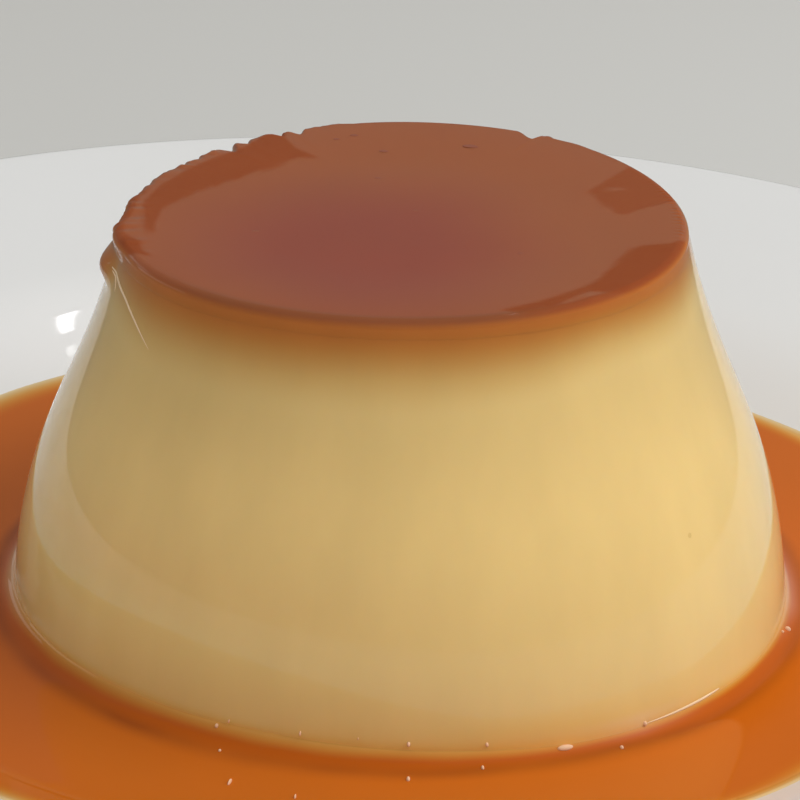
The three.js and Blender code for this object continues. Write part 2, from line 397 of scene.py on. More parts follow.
# Lip of caramel just under the rim, on the left: angle, half width in degrees, height, half height,
# reach, and how much nearer to the rim its stain looks.
LIP = {
    "angle": 189, "half_width": 9, "height": 47.1 * MM, "half_height": 2.4 * MM, "reach": 1.2 * MM,
    "stain": 4 * MM,
}

# Folds in the film near the rim: angle and half width in degrees, height and width in millimetres,
# waves in a turn and seed. They rise over a distance from the edge, and are full up to a share of
# their width.
PUCKERS = (
    (185, 28, 0.14, 3.2, (37, 59, 83, 113), 21),
    (140, 45, 0.10, 2.2, (43, 67, 101), 22),
    (5, 24, 0.08, 1.6, (181, 211, 241), 23),
    (310, 22, 0.06, 2.5, (31, 47, 61), 24),
)
PUCKER_START = 0.4 * MM
PUCKER_FULL = 0.3

# Where two layers meet: width of the sharp corner, and how far the custard reaches into the caramel.
SEAM = 0.02 * MM
TUCK = 0.4 * MM

# Share of the way out to the edge's corner within which the sunk middle is flat.
DISH_FLAT = 0.5

# Points along the side's curve, rows of the custard's side, and of the caramel's side, edge and top,
# with the power that draws the top's rows towards its edge.
CURVE_POINTS = 400
CUSTARD_ROWS = 110
CARAMEL_ROWS = (9, 16, 34)
TOP_SPACING = 1.8


def from_centre(reach, angle):
    """Place on the plan: the flan's centre plus the reach times cosine and sine of the angle."""
    return FLAN_CENTRE[0] + reach * np.cos(angle), FLAN_CENTRE[1] + reach * np.sin(angle)


def lobed(lobes, angle):
    """Sum of cosines, one for each lobe: size times cosine of count times the angle from its crest."""
    return sum(size * np.cos(count * (angle - math.radians(crest))) for count, size, crest in lobes)


def side_radius(custard, height):
    """Radius of the even side at a height: a cubic curve over the sauce line, a cone below it."""
    curve = bezier(
        (custard.base_radius, custard.sauce_line), LOWER_BELLY, UPPER_BELLY,
        (custard.top_radius, custard.rim_height), CURVE_POINTS,
    )
    depth = custard.sauce_line - WELL_FLOOR
    spread = FOOT_SPREAD * np.clip((custard.sauce_line - height) / depth, 0, 1)
    return np.interp(height, curve[:, 1], curve[:, 0]) + spread


def climb(custard, height):
    """Share of the way from the sauce line up to the rim."""
    return np.clip((height - custard.sauce_line) / (custard.rim_height - custard.sauce_line), 0, 1)


def outline_scale(custard, angle, height):
    """Scale of the outline: the base's lobes at the sauce line, blending evenly to the top's lobes."""
    up = climb(custard, height)
    return 1 + (1 - up) * lobed(BASE_LOBES, angle) + up * lobed(TOP_LOBES, angle)


def sauce_contact(custard, angle):
    """Distance from the flan's centre at which the sauce meets it."""
    return side_radius(custard, custard.sauce_line) * outline_scale(custard, angle, custard.sauce_line)


def on_flan(custard, radius, angle, height):
    """Places a point of the even flan: lobed outline, sheared to one side, top tilted."""
    up = climb(custard, height)
    reach = radius * outline_scale(custard, angle, height)
    x, y = from_centre(reach, angle)
    z = height + up * TOP_TILT * reach * np.cos(angle) / custard.top_radius
    return stacked(x + TOP_SHIFT * up, y, z)


def lip_share(angle, height):
    """Share of the lip at a point: a hump round the flan times a hump up its side."""
    across = hump(np.degrees(angle) - LIP["angle"], LIP["half_width"])
    return across * hump(height - LIP["height"], LIP["half_height"])


def rim_shift(custard, caramel, angle, height):
    """Outward shift of the rim: tears and fine roughness cut in near the top, the lip stands out."""
    torn = 0
    for middle, before, after, depth in TEARS:
        offset = np.degrees(angle) - middle
        torn = torn + depth * MM * np.where(offset < 0, hump(offset, before), hump(offset, after))
    torn = torn + stretch(ROUGH_STRETCH, angle) * ripple(ROUGHNESS, angle)
    rim = custard.rim_height
    near_rim = smooth(height, rim - caramel.depth, rim - caramel.round_height)
    return LIP["reach"] * lip_share(angle, height) - near_rim * torn


def swell(angle, height):
    """Slow unevenness of the side: two ripples round the flan, blended by a wave up its height."""
    blend = 0.5 + 0.5 * np.sin(height / SWELL_LENGTH)
    first, second = (waves(angle, SWELL_COUNTS, seed) for seed in (1, 2))
    return SWELL * (blend * first + (1 - blend) * second)


def uneven_flan(custard, caramel, radius, angle, level):
    """Points of the flan: the even one, shifted outward by the rim's and the side's unevenness."""
    on_side = smooth(radius, custard.top_radius * EVEN_SHARE, custard.top_radius)
    shift = on_side * (rim_shift(custard, caramel, angle, level) + swell(angle, level))
    return on_flan(custard, radius + shift, angle, level)


def pucker(custard, caramel, radius, angle, level):
    """Height of the folds in the film near the rim: fine ripples round the edge, fading inwards."""
    inward = custard.top_radius - radius
    above = smooth(level, custard.rim_height - caramel.round_height, custard.rim_height)
    height = 0
    for middle, half_width, depth, width, counts, seed in PUCKERS:
        reach = width * MM
        across = hump((np.degrees(angle) - middle + 180) % 360 - 180, half_width)
        fade = smooth(inward, 0, PUCKER_START) * (1 - smooth(inward, PUCKER_FULL * reach, reach))
        height = height + across * fade * above * ripple((depth * MM, counts, seed), angle)
    return height


def sunk_level(custard, caramel, radius, corner):
    """Height of the top: the rim's, less the dish by a smooth step from the rounded edge inwards."""
    return custard.rim_height - caramel.dish * (1 - smooth(radius, DISH_FLAT * corner, corner))


def custard_profile(custard, caramel):
    """Section of the custard: flat foot, side up to the seam, flat top tucked into the caramel."""
    seam = custard.rim_height - caramel.depth
    height = np.append(np.linspace(WELL_FLOOR, seam - SEAM, CUSTARD_ROWS), seam)
    side = stacked(side_radius(custard, height), height)
    rim = side[-1, 0]
    return path(
        (0, WELL_FLOOR), (side[0, 0] / 2, WELL_FLOOR), side, (rim - SEAM, seam + SEAM),
        (rim - TUCK, seam + TUCK), (rim / 2, seam + TUCK), (0, seam + TUCK),
    )


def caramel_profile(custard, caramel):
    """Section of the caramel layer: flat underside, side, elliptic edge, sunk top. Also its corner."""
    rim, under = custard.rim_height, custard.rim_height - caramel.depth
    round_from = rim - caramel.round_height
    side_rows, edge_rows, top_rows = CARAMEL_ROWS
    height = np.insert(np.linspace(under, round_from, side_rows), 1, under + SEAM)
    side = stacked(side_radius(custard, height), height)
    corner = side[-1, 0] - caramel.round_width
    turn = np.linspace(0, TURN / 4, edge_rows)
    across, up = caramel.round_width * np.cos(turn), caramel.round_height * np.sin(turn)
    edge = stacked(corner + across, round_from + up)
    inward = corner * (1 - np.linspace(0, 1, top_rows)[1:-1] ** TOP_SPACING)
    top = stacked(inward, sunk_level(custard, caramel, inward, corner))
    profile = path(
        (0, under), (corner, under), (side[0, 0] - SEAM, under), side, edge, top, (0, rim - caramel.dish),
    )
    return profile, corner


# ---- the flan's looks, worked out point by point

# How far the caramel's stain runs down the side, by angle in degrees, as a share of its full length.
STAIN_LENGTH = (
    (30, 0.5), (90, 0.6), (150, 0.6), (185, 0.7), (203, 0.8), (218, 0.95), (240, 1), (275, 1), (292, 0.9),
    (312, 0.8), (335, 0.76), (345, 0.64), (0, 0.5),
)

# Sauce on the foot of the flan, by angle in degrees: its thickness in millimetres at the sauce line,
# and how high it has crept in millimetres, with the height's share, waves in a turn and seed.
FOOT_FILM = (
    (90, 0.5), (180, 0.65), (240, 0.68), (256, 0.66), (270, 0.75), (285, 0.8), (300, 0.85), (316, 0.75),
    (345, 0.65),
)
FILM_CLIMB = (
    (90, 0.4), (201, 0.4), (224, 0.45), (250, 0.5), (270, 0.9), (285, 1.1), (300, 0.8), (320, 0.45),
    (345, 0.35),
)
CLIMB_RIPPLE = (0.3, (5, 8, 13, 21), 9)

# How far the custard takes on the paler foot colour, painted light that offsets the orange light
# the sauce throws up on it, and how far it is veiled by dried froth and painted sheen, by angle in
# degrees, and the heights over the sauce line between which each fades.
PAINTED_FOOT_LIGHT = ((90, 0.6), (180, 1), (240, 1), (256, 0.7), (270, 0.4), (290, 0.2), (345, 0.15))
PAINTED_FOOT_LIGHT_HEIGHTS = (5 * MM, 14 * MM)
FROTH_AND_PAINTED_SHEEN = (
    (30, 0), (90, 0.04), (260, 0.04), (285, 0.06), (292, 0.08), (298, 0.12), (302, 0.18), (305, 0.24),
    (308, 0.16), (312, 0.12), (316, 0.05), (322, 0),
)
FROTH_AND_PAINTED_SHEEN_HEIGHTS = (0.7 * MM, 1.9 * MM)

# How much darker the custard is towards the rim, by angle in degrees, and the heights between which
# that fades in.
UPPER_SHADE = ((90, 0.08), (180, 0.14), (225, 0.14), (245, 0.11), (256, 0.07), (345, 0.08))
UPPER_HEIGHTS = (32 * MM, 43 * MM)

# How much brighter the foot is at the sauce line, and the height over which that falls off.
FOOT_GLOWS = ((0.12, 1.0 * MM), (0.08, 0.25 * MM))

# Dull places on the top: they lose the wet coat and take the browner dull colour, a painted reflection
# of darker surroundings. How dull each is, and its corners in millimetres from the top's middle,
# anticlockwise. Their edges are soft and ripple a little.
DULL_PLACES_AND_PAINTED_REFLECTION = (
    (
        1.0, (9.1, -24.2), (11.9, -25.1), (13.7, -23.6), (15.6, -21.4), (17.5, -19.4), (19.6, -19.5),
        (22.5, -18.5), (28, -13), (29, -7), (27.2, -5.7), (25.6, -7.0), (22.7, -7.6), (21.7, -8.5),
        (20.6, -11.1), (19.6, -13.5), (18.3, -16.5), (15.7, -19.6), (12.5, -22.1),
    ),
    (
        0.9, (-14.5, 24), (-16.6, 19.6), (-19.9, 15.7), (-22.2, 12.5), (-24.6, 7.8), (-25.9, 3.0),
        (-25.6, -1.0), (-25.1, -4.2), (-24.4, -6.4), (-24.1, -4.0), (-24.1, 0.2), (-23.2, 2.3),
        (-20.5, 6.5), (-15.8, 11.5), (-11.2, 16.2), (-9.4, 17.1), (-11.6, 19.2), (-12.6, 21.5), (-13.2, 25),
    ),
    (0.75, (18.0, 7.3), (19.3, 4.6), (21.1, 0.6), (24.2, 2.9), (27.5, 5.0), (27, 9), (22.6, 14.2)),
    (1.0, (-27.6, -7.5), (-26.7, -6.0), (-25.3, -7.8), (-25.0, -9.8), (-23.9, -11.7), (-26.4, -10.6)),
)
DULL_SOFTNESS = 0.3
DULL_RIPPLE = (0.12, (17, 23, 31, 43), 6)

# Wet spot inside a dull place: its middle and half sizes in millimetres.
WET_SPOT = (20.9, 7.9, 1.5, 0.9)

# Stretches of the rounded edge that are dull, in the dull colour; along the back its orange is painted
# light, shining through the thin edge. How dull, and the angles between which each fades in and out.
# Then how far from the edge's corner the dullness begins, and the shares of the edge's height between
# which it ends.
DULL_EDGES_AND_PAINTED_LIGHT = (
    (0.35, 205, 228, 306, 322), (0.3, 20, 35, 100, 118), (0.7, 160, 172, 194, 203),
    (0.5, 292, 300, 318, 330),
)
DULL_FROM = (-0.1 * MM, 0.2 * MM)
DULL_TO = (0.3, 0.9)

# Painted shade: a dark line inside the top's edge in front, with the angles between which it fades in
# and out, how far outside the edge's corner it lies, and its half width.
PAINTED_EDGE_SHADE = (200, 235, 285, 312)
PAINTED_EDGE_SHADE_OFFSET = 0.6 * MM
PAINTED_EDGE_SHADE_HALF_WIDTH = 1.3 * MM

# The darkest place of the wet layer: its middle, and where the lighter border begins and ends, in
# millimetres from the top's middle, with the border's share, waves in a turn and seed.
DARK_PLACE = (-4, -8, 6, 25)
BORDER_RIPPLE = (0.12, (2, 3, 5, 7), 31)


def stain_drop(custard, angle, level):
    """Distance below the rim in terms of the stain, which is shorter on some sides, and the brown lip."""
    below = (custard.rim_height - level) / around(STAIN_LENGTH, angle)
    return below - np.minimum(below, LIP["stain"] * lip_share(angle, level))


def foot_film(custard, angle, level):
    """Thickness in millimetres of the sauce that has crept up the foot: it falls off exponentially."""
    height = around(FILM_CLIMB, angle) * (1 + ripple(CLIMB_RIPPLE, angle)) * MM
    return around(FOOT_FILM, angle) * np.exp(-np.maximum(level - custard.sauce_line, 0) / height)


def foot_share(custard, table, heights, angle, level):
    """Value by angle, full near the sauce line, and faded out by a smooth step between two heights."""
    return around(table, angle) * (1 - smooth(level - custard.sauce_line, *heights))


def painted_custard_light(custard, angle, level):
    """Painted light and shade: 1 on the side, a little less towards the rim, more right at the foot."""
    above = np.maximum(level - custard.sauce_line, 0)
    foot = sum(glow * np.exp(-above / height) for glow, height in FOOT_GLOWS)
    return 1 - around(UPPER_SHADE, angle) * smooth(level, *UPPER_HEIGHTS) + foot


def from_top_middle(points):
    """Place on the plan in millimetres from the top's middle."""
    return (points[..., 0] - FLAN_CENTRE[0] - TOP_SHIFT) / MM, (points[..., 1] - FLAN_CENTRE[1]) / MM


def wet_film(custard, caramel, points, radius, level, angle):
    """Where the top is wet: 1, less the dull places and the dull stretches of its rounded edge."""
    x, y = from_top_middle(points)
    turn = np.arctan2(y, x)
    shift = ripple(DULL_RIPPLE, turn)
    x, y = x + shift * np.cos(turn), y + shift * np.sin(turn)
    masks = [
        dullness * inside_outline(x, y, corners, DULL_SOFTNESS) for dullness, *corners in DULL_PLACES_AND_PAINTED_REFLECTION
    ]
    spot_x, spot_y, half_x, half_y = WET_SPOT
    spot = hump(np.hypot((x - spot_x) / half_x, (y - spot_y) / half_y), 1)
    edge = sum(dullness * stretch(limits, angle) for dullness, *limits in DULL_EDGES_AND_PAINTED_LIGHT)
    edge = edge * smooth(radius - custard.top_radius + caramel.round_width, *DULL_FROM)
    above = 1 - smooth((custard.rim_height - level) / caramel.round_height, *DULL_TO)
    # Outside the wet share the top takes the dull colour: painted reflection, and painted light along the
    # back edge.
    return (1 - np.max(masks, axis=0) * (1 - spot) * above) * (1 - edge * above)


def painted_edge_shade(custard, caramel, radius, angle):
    """Share of the painted shade inside the top's edge, in front: a hump of the distance to its middle."""
    middle = custard.top_radius - caramel.round_width + PAINTED_EDGE_SHADE_OFFSET
    return stretch(PAINTED_EDGE_SHADE, angle) * hump(radius - middle, PAINTED_EDGE_SHADE_HALF_WIDTH)


def lighter_border(points):
    """Share of the wet layer's border colour: smooth step of the distance from its darkest place."""
    middle_x, middle_y, begin, end = DARK_PLACE
    x, y = from_top_middle(points)
    x, y = x - middle_x, y - middle_y
    return smooth(np.hypot(x, y) * (1 + ripple(BORDER_RIPPLE, np.arctan2(y, x))), begin, end)


# ---- the plate's form

# Foot ring: outer radius, width, depth and rounding. Then the rounding of the plate's outer edge.
FOOT_RING = (57 * MM, 6 * MM, 3 * MM, 0.8 * MM)
EDGE_ROUND = 1.6 * MM

# Handles of the well's wall: along the floor, and back down from the shoulder as radius and height. The
# underside's curve lies a little further out.
FLOOR_HANDLE = 11 * MM
SHOULDER_HANDLE = (13 * MM, 1.9 * MM)
UNDER_SHIFT = 1 * MM

# Points of each small rounding, of the outer edge, of the underside and of the wall, and the longest
# step along the section.
ROUND_POINTS, EDGE_POINTS, UNDER_POINTS, WALL_POINTS = 8, 24, 30, 60
SECTION_STEP = 1.5 * MM


def well_wall(plate, count):
    """Section of the well's wall: a cubic curve from the flat floor up to the shoulder."""
    back, down = SHOULDER_HANDLE
    return bezier(
        (plate.well, plate.floor), (plate.well + FLOOR_HANDLE, plate.floor),
        (plate.shoulder - back, plate.shoulder_height - down), (plate.shoulder, plate.shoulder_height),
        count,
    )


def well_height(plate, radius):
    """Height of the plate's upper face inside the shoulder at a distance from its middle."""
    wall = well_wall(plate, CURVE_POINTS // 2)
    return np.interp(radius, wall[:, 0], wall[:, 1])


def plate_profile(plate):
    """Section of the plate: foot ring, underside, rolled lip, rim, wall of the well, floor."""
    foot_radius, foot_width, foot_depth, rounding = FOOT_RING
    inner = foot_radius - foot_width
    foot = path(
        (0, foot_depth),
        arc((inner - rounding, foot_depth - rounding), rounding, 90, 0, ROUND_POINTS),
        arc((inner + rounding, rounding), rounding, 180, 270, ROUND_POINTS),
        arc((foot_radius - rounding, rounding), rounding, -90, 0, ROUND_POINTS),
    )
    back, down = SHOULDER_HANDLE
    under = (plate.shoulder + UNDER_SHIFT, plate.shoulder_height - plate.thickness)
    hollow = bezier(
        (foot_radius, rounding), (foot_radius + UNDER_SHIFT, rounding + plate.thickness),
        (under[0] - back, under[1] - down), under, UNDER_POINTS,
    )
    edge_middle = (plate.radius - EDGE_ROUND, plate.height - EDGE_ROUND)
    edge = arc(edge_middle, EDGE_ROUND, -90, 100, EDGE_POINTS)
    wall = well_wall(plate, WALL_POINTS)[::-1]
    return densified(path(foot, hollow, edge, wall, (0, plate.floor)), SECTION_STEP)


# ---- the pool's form and looks

# Edge of the pool: its ripple's share, waves in a turn and seed, and how far a thin film has run up
# the plate past it, as angle and half width in degrees and distance in millimetres.
POOL_RIPPLE = (0.006, (5, 9, 13, 17, 29), 3)
RUN_UP = ((232, 62, 8.0), (306, 28, 1.6), (38, 14, 0.8))

# Power in the fall of the meniscus, thickness of the film on the plate and width of its tapered edge,
# how deep the underside lies in the plate, and how far the sauce reaches into the flan and up in it.
MENISCUS_POWER = 0.8
POOL_SKIN = 0.12 * MM
SKIN_TAPER = 0.6 * MM
BURIED = 0.2 * MM
FOOT_OVERLAP = (0.3 * MM, 0.6 * MM)

# Rows across the whole pool and the power that draws them towards the flan, and the rows in the outer
# share of it.
NEAR_ROWS = 44
NEAR_SPACING = 2.2
OUTER_ROWS = 16
OUTER_SHARE = 0.2

# Depth in millimetres that the sauce's colour shows near the edge, and how wide its paler edge is, by
# angle in degrees. It begins a share of that width outside the pool.
FULL_DEPTH = 3.0
EDGE_WIDTH = ((35, 3.1), (145, 4.6), (200, 4.8), (237, 5.0), (300, 3.6), (330, 3.2))
EDGE_BEGIN = -0.3

# Sauce in front of the custard's foot: how much thicker it gets with each millimetre from the flan, by
# angle in degrees, with the gain's share, waves in a turn and seed, and its greatest thickness.
FILM_GAIN = (
    (90, 1.6), (180, 1.6), (250, 1.7), (270, 1.9), (285, 2.5), (300, 3.3), (308, 3.4), (317, 4.8),
    (332, 4.6), (345, 3.0),
)
GAIN_RIPPLE = (0.15, (11, 23, 29, 41), 15)
THICKEST_FILM = 2.6

# How bright the sauce is, by angle in degrees: beside the flan and further out, with the distances
# between which one changes to the other.
FOOT_LIGHT = (
    (90, 0.72), (180, 0.72), (240, 0.71), (270, 0.72), (300, 0.75), (316, 0.8), (335, 0.8), (0, 0.78),
)
POOL_LIGHT = (
    (0, 1), (90, 1), (160, 1), (190, 0.94), (225, 0.92), (256, 0.92), (280, 0.95), (300, 1), (345, 1),
)
LIGHT_CHANGE = (1 * MM, 3.5 * MM)

# The same right at the sauce line, and how much more in the crease there, by angle in degrees, each
# with the distance over which it falls off.
LINE_LIGHT = 0.94
LINE_REACH = 0.5 * MM
CREASE_LIGHT = ((90, 0.1), (240, 0.11), (248, 0.05), (256, 0), (345, 0))
CREASE_REACH = 0.06 * MM

# Pale film on the sauce beside the flan, partly dried froth and partly painted sheen of its wet edge:
# its share, and its reach in millimetres, by angle in degrees.
SAUCE_FROTH_AND_PAINTED_SHEEN = (
    (0, 0.22), (20, 0.04), (90, 0.02), (165, 0.03), (178, 0.2), (190, 0.2), (205, 0.02), (260, 0.02),
    (285, 0.03), (292, 0.045), (298, 0.065), (302, 0.1), (305, 0.13), (308, 0.09), (312, 0.065),
    (316, 0.025), (322, 0), (339, 0.01), (347, 0.11), (353, 0.24),
)
SAUCE_FROTH_AND_PAINTED_SHEEN_REACH = (
    (10, 1.2), (30, 0.8), (165, 0.8), (178, 1.1), (190, 1.0), (205, 0.8), (341, 0.6), (351, 1.1),
)

# Dark band in the sauce round the flan, partly deeper sauce and partly painted shade, by angle in
# degrees: its distance in millimetres and its darkness, with the darkness's share, waves in a turn and
# seed.
BAND_DISTANCE = (
    (90, 1.2), (180, 1.1), (201, 1.25), (224, 1.4), (245, 1.55), (258, 1.4), (270, 1.25), (285, 0.9),
    (300, 0.65), (316, 0.95), (345, 1.0),
)
BAND_DARKNESS = (
    (30, 0.35), (90, 0.5), (180, 0.9), (224, 0.85), (250, 0.7), (270, 0.55), (290, 0.4), (345, 0.35),
)
BAND_RIPPLE = (0.55, (9, 17, 23, 37), 12)


def pool_reach(sauce, angle):
    """Distance from the flan's centre to the pool's edge: a circle round the plate's middle, run up."""
    edge = sauce.pool * (1 + ripple(POOL_RIPPLE, angle))
    for middle, half_width, reach in RUN_UP:
        edge = edge + reach * MM * hump(np.degrees(angle) - middle, half_width)
    along = FLAN_CENTRE[0] * np.cos(angle) + FLAN_CENTRE[1] * np.sin(angle)
    return np.sqrt(along ** 2 - FLAN_CENTRE[0] ** 2 - FLAN_CENTRE[1] ** 2 + edge ** 2) - along


def sauce_level(sauce, custard, distance):
    """Height of the sauce: its level, and a rise at the flan of e to the minus (share of reach)^p."""
    rise = custard.sauce_line - sauce.level
    return sauce.level + rise * np.exp(-(distance / sauce.reach) ** MENISCUS_POWER)


def pool_shares():
    """Shares of the way across the pool for its rows: powers of even steps from flan and edge."""
    near = np.linspace(0, 1, NEAR_ROWS) ** NEAR_SPACING
    far = 1 - OUTER_SHARE * np.linspace(1, 0, OUTER_ROWS) ** 2
    return np.unique(np.concatenate([near, far]))[:, None]


def pool_rows(sauce, plate, custard, angle):
    """The pool's upper and lower points, the distance from the flan and the depth that shows."""
    contact, outer = sauce_contact(custard, angle), pool_reach(sauce, angle)
    distance = pool_shares() * (outer - contact)
    from_edge = outer - contact - distance
    x, y = from_centre(contact + distance, angle)
    ground = well_height(plate, np.hypot(x, y))
    level = sauce_level(sauce, custard, distance)
    top = np.maximum(level, ground + POOL_SKIN * smooth(from_edge, 0, SKIN_TAPER))
    edge_width = around(EDGE_WIDTH, angle) * MM
    edge = FULL_DEPTH * smooth(from_edge, EDGE_BEGIN * edge_width, edge_width)
    depth = np.maximum(np.minimum(level, sauce.level) - ground, edge * MM)
    under = np.minimum(ground - BURIED, top - BURIED)
    return stacked(x, y, top), stacked(x, y, under), distance, depth


def pool_looks(angle, distance, depth):
    """What the sauce's material reads at each point, from its angle, distance from the flan and depth."""
    away = smooth(distance, *LIGHT_CHANGE)
    lit = around(FOOT_LIGHT, angle) * (1 - away) + around(POOL_LIGHT, angle) * away
    lit = lit + (LINE_LIGHT - lit) * np.exp(-distance / LINE_REACH)
    lit = lit + around(CREASE_LIGHT, angle) * np.exp(-distance / CREASE_REACH)
    gain = around(FILM_GAIN, angle) * (1 + ripple(GAIN_RIPPLE, angle))
    dark = around(BAND_DARKNESS, angle) * (1 + ripple(BAND_RIPPLE, angle))
    froth_and_painted_sheen_reach = around(SAUCE_FROTH_AND_PAINTED_SHEEN_REACH, angle) * MM
    return {
        "reach": distance / (around(BAND_DISTANCE, angle) * MM),
        "depth": depth / MM,
        "shade": np.broadcast_to(dark, distance.shape),
        "creep": np.minimum(around(FOOT_FILM, angle) + gain * distance / MM, THICKEST_FILM),
        "lit": lit,
        # Partly dried froth, partly painted sheen.
        "veil": around(SAUCE_FROTH_AND_PAINTED_SHEEN, angle) * np.exp(-(distance / froth_and_painted_sheen_reach) ** 2),
    }


# ---- materials

# How strongly caramel sauce takes up red, green and blue light, for each millimetre.
CARAMEL_ABSORPTION = (0.10, 0.60, 1.60)

# Stain: how fast red, green and blue come back below it, as powers, and in millimetres below the rim
# the stretch over which they do, and how far that wanders.
STAIN_PACE = (1.0, 0.86, 1.08)
STAIN_RUN = (1.1, 8.9)
STAIN_WANDER = 2.5

# Millimetres below the rim over which the top's colour changes to the side's.
TOP_TO_SIDE = (0.15, 0.9)

# Multiples of the dark band's distance from the flan between which the custard fades out behind the
# sauce, and between which the band ends.
CUSTARD_SEEN = (0.8, 2.2)
BAND_SEEN = (1.4, 3.4)

# Scale and amount of the mottling in each finish, and its scale up the piece as a share.
MOTTLES = {
    "glaze": (25.0, 0.03, 1.0), "sauce": (70.0, 0.10, 1.0), "flan side": (150.0, 0.17, 0.25),
    "flan top": (60.0, 0.12, 1.0), "froth": (900.0, 0.1, 1.0), "specks": (500.0, 0.2, 1.0),
    "folds": (300.0, 0.2, 1.0), "table": (6.0, 0.03, 1.0),
}

# Uneven skins: scale of the slow waves, share of the fine grain, and strength of both.
GLAZE_SKIN = (30.0, 0.01, 0.02)
WET_SKIN = (60.0, 0.03, 0.10)
GRAIN_SCALE = 1500.0
SKIN_HEIGHT = 0.5 * MM

# A matt, soft body under a smooth wet film: light goes a short way into it for blue, further for red.
WET_BODY = {
    "Roughness": 0.5, "IOR": 1.42, "Specular IOR Level": 0.1, "Coat Roughness": 0.03, "Coat IOR": 1.42,
    "Subsurface Weight": 0.25, "Subsurface Radius": (1.0, 0.6, 0.3), "Subsurface Scale": 2 * MM,
}
WHITE = (1, 1, 1, 1)


def opaque(shade):
    """A colour with full alpha."""
    return tuple(shade)[:3] + (1,)


class Nodes:
    """Short calls for building a node tree."""

    def __init__(self, tree):
        self.tree = tree

    def fill(self, node, inputs):
        """Joins or sets each named or numbered input of a node."""
        for key, value in inputs.items():
            if isinstance(value, bpy.types.NodeSocket):
                self.tree.links.new(value, node.inputs[key])
            else:
                node.inputs[key].default_value = value
        return node

    def add(self, kind, inputs=None, **options):
        """Adds a node, sets its options and fills its inputs."""
        node = self.tree.nodes.new("ShaderNode" + kind)
        for key, value in options.items():
            setattr(node, key, value)
        return self.fill(node, inputs or {})

    def math(self, operation, *values):
        """Output of a math node."""
        return self.add("Math", dict(enumerate(values)), operation=operation).outputs[0]

    def vector(self, operation, *values):
        """Vector output of a vector math node."""
        return self.add("VectorMath", dict(enumerate(values)), operation=operation).outputs[0]

    def scaled(self, shade, factor):
        """A colour times a number."""
        return self.add("VectorMath", {0: shade, "Scale": factor}, operation="SCALE").outputs[0]

    def mix(self, factor, first, second, blend="MIX"):
        """Colour output of a mix of two colours."""
        node = self.add("Mix", {0: factor, 6: first, 7: second}, data_type="RGBA", blend_type=blend)
        return node.outputs[2]

    def noise(self, place, scale, detail):
        """Value of a noise at a place."""
        return self.add("TexNoise", {"Vector": place, "Scale": scale, "Detail": detail}).outputs[0]

    def place(self):
        """Place in the piece's own coordinates."""
        return self.add("TexCoord").outputs["Object"]

    def attribute(self, name):
        """Value of one of the piece's own attributes."""
        return self.add("Attribute", attribute_name=name).outputs["Fac"]

    def span(self, value, low, high, to_low=0.0, to_high=1.0):
        """A value's smooth step between two limits."""
        inputs = {"Value": value, 1: low, 2: high, 3: to_low, 4: to_high}
        return self.add("MapRange", inputs, interpolation_type="SMOOTHSTEP").outputs[0]

    def group(self, name, inputs):
        """Output of a shared group."""
        return self.add("Group", inputs, node_tree=bpy.data.node_groups[name]).outputs[0]

    def mottled(self, shade, finish):
        """A colour with the mottling of a finish."""
        values = dict(zip(("Scale", "Amount", "Stretch"), MOTTLES[finish]))
        return self.group("Mottle", {"Colour": shade, **values})

    def film(self, shade, thickness):
        """A colour seen through caramel of a thickness in millimetres."""
        return self.group("Caramel film", {"Colour": shade, "Thickness": thickness})

    def uneven(self, wave_scale, grain, strength):
        """Normal of a surface with slow waves and fine pits."""
        inputs = {"Wave scale": wave_scale, "Grain scale": GRAIN_SCALE, "Grain": grain}
        height = self.group("Swell", inputs)
        inputs = {"Height": height, "Strength": strength, "Distance": SKIN_HEIGHT}
        return self.add("Bump", inputs).outputs[0]


def new_group(name, inputs, output, kind="Color"):
    """A shared group with named inputs and one output: its node calls, its inputs and its last node."""
    tree = bpy.data.node_groups.new(name, "ShaderNodeTree")
    for key, default in inputs.items():
        socket_type = "NodeSocketFloat" if isinstance(default, float) else "NodeSocketColor"
        socket = tree.interface.new_socket(name=key, in_out="INPUT", socket_type=socket_type)
        socket.default_value = default
    tree.interface.new_socket(name=output, in_out="OUTPUT", socket_type="NodeSocket" + kind)
    return Nodes(tree), tree.nodes.new("NodeGroupInput").outputs, tree.nodes.new("NodeGroupOutput")


def make_mottle_group():
    """Mottle: a colour made a little lighter and darker in soft patches, longer up the piece."""
    inputs = {"Colour": WHITE, "Scale": 100.0, "Stretch": 1.0, "Amount": 0.1}
    nodes, given, result = new_group("Mottle", inputs, "Colour")
    scale = nodes.add("CombineXYZ", {0: 1.0, 1: 1.0, 2: given["Stretch"]}).outputs[0]
    noise = nodes.noise(nodes.vector("MULTIPLY", nodes.place(), scale), given["Scale"], detail=3.0)
    change = nodes.math("MULTIPLY", nodes.math("SUBTRACT", noise, 0.5), given["Amount"])
    nodes.fill(result, {0: nodes.scaled(given["Colour"], nodes.math("ADD", change, 1.0))})


def make_swell_group():
    """Swell: height of slow waves plus a share of fine pits in a soft, wet surface."""
    inputs = {"Wave scale": 60.0, "Grain scale": 900.0, "Grain": 0.1}
    nodes, given, result = new_group("Swell", inputs, "Height", kind="Float")
    place = nodes.place()
    wave = nodes.noise(place, given["Wave scale"], detail=2.0)
    pits = nodes.noise(place, given["Grain scale"], detail=3.0)
    grain = nodes.math("MULTIPLY", pits, given["Grain"])
    nodes.fill(result, {0: nodes.math("ADD", wave, grain)})


